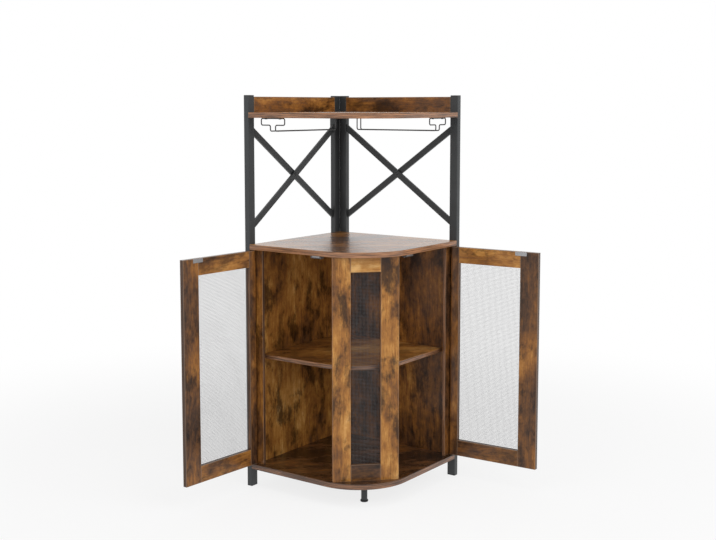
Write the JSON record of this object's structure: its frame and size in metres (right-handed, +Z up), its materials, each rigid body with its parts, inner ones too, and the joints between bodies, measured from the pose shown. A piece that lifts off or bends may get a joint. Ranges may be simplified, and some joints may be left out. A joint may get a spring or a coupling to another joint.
{
  "type": "corner bar cabinet",
  "caption": "Corner bar cabinet with black steel side frames, rounded rustic boards, mesh doors on pivots, an open display bay and hanging stemware racks.",
  "frame": {"origin": "on the floor under the middle of the cabinet's box, doors open as in the picture", "axes": "+Z up, -Y towards the user at the rounded front, +Y towards the corner of the room, +X to the user's right"},
  "size_m": [1.1748, 0.6467, 1.33],
  "materials": {
    "rustic_board": "rustic brown wood-grain paper on board, satin",
    "plain_wood": "bare beech",
    "black_steel": "black powder coat, fine texture",
    "rack_wire": "black coated wire, satin",
    "black_plastic": "moulded, fine texture",
    "grey_plastic": "moulded, satin",
    "mesh": "fine dark grey woven steel wire",
    "zinc": "zinc plated"
  },
  "bodies": {
    "cabinet": {"top_shelf": "rustic_board", "counter_top": "rustic_board", "bottom_board": "rustic_board", "mid_shelf": "rustic_board", "left_fence": "rustic_board", "right_fence": "rustic_board", "left_wall_panel": "rustic_board", "right_wall_panel": "rustic_board", "left_hinge_strip": "rustic_board", "right_hinge_strip": "rustic_board", "centre_left_stile": "rustic_board", "centre_right_stile": "rustic_board", "centre_top_rail": "rustic_board", "centre_bottom_rail": "rustic_board", "left_front_post": "black_steel", "right_front_post": "black_steel", "left_rear_post": "black_steel", "right_rear_post": "black_steel", "left_brace_rising": "black_steel", "left_brace_falling": "black_steel", "right_brace_rising": "black_steel", "right_brace_falling": "black_steel", "brace_rivets": "black_steel", "frame_bolts": "black_steel", "front_leg": "black_steel", "front_leg_plate": "black_steel", "post_top_caps": "black_plastic", "post_foot_caps": "black_plastic", "front_leg_glide": "black_plastic", "pivot_bushes": "black_plastic", "catch_bodies": "grey_plastic", "catch_magnets": "zinc", "catch_screws": "zinc", "fence_screws": "zinc", "leg_screws": "zinc", "rack_screws": "zinc", "rack_clips": "rack_wire", "left_stemware_rack": "rack_wire", "right_stemware_rack": "rack_wire", "shelf_pins": "zinc", "case_dowels": "plain_wood", "centre_mesh": "mesh"},
    "left_door": {"left_door_hinge_stile": "rustic_board", "left_door_free_stile": "rustic_board", "left_door_top_rail": "rustic_board", "left_door_bottom_rail": "rustic_board", "left_door_mesh": "mesh", "left_door_pivot_pins": "zinc", "left_door_strike_plate": "zinc", "left_door_knob": "black_steel", "left_door_screws": "zinc"},
    "right_door": {"right_door_hinge_stile": "rustic_board", "right_door_free_stile": "rustic_board", "right_door_top_rail": "rustic_board", "right_door_bottom_rail": "rustic_board", "right_door_mesh": "mesh", "right_door_pivot_pins": "zinc", "right_door_strike_plate": "zinc", "right_door_knob": "black_steel", "right_door_screws": "zinc"}
  },
  "joints": [
    {"name": "left_door_pivot", "type": "hinge", "parent": "cabinet", "child": "left_door", "pos_m": [-0.34365, -0.04781, 0.44675], "axis": [0, 0, 1], "range_deg": [-7, 93]},
    {"name": "right_door_pivot", "type": "hinge", "parent": "cabinet", "child": "right_door", "pos_m": [0.34365, -0.04781, 0.44675], "axis": [0, 0, -1], "range_deg": [-7, 93]}
  ]
}
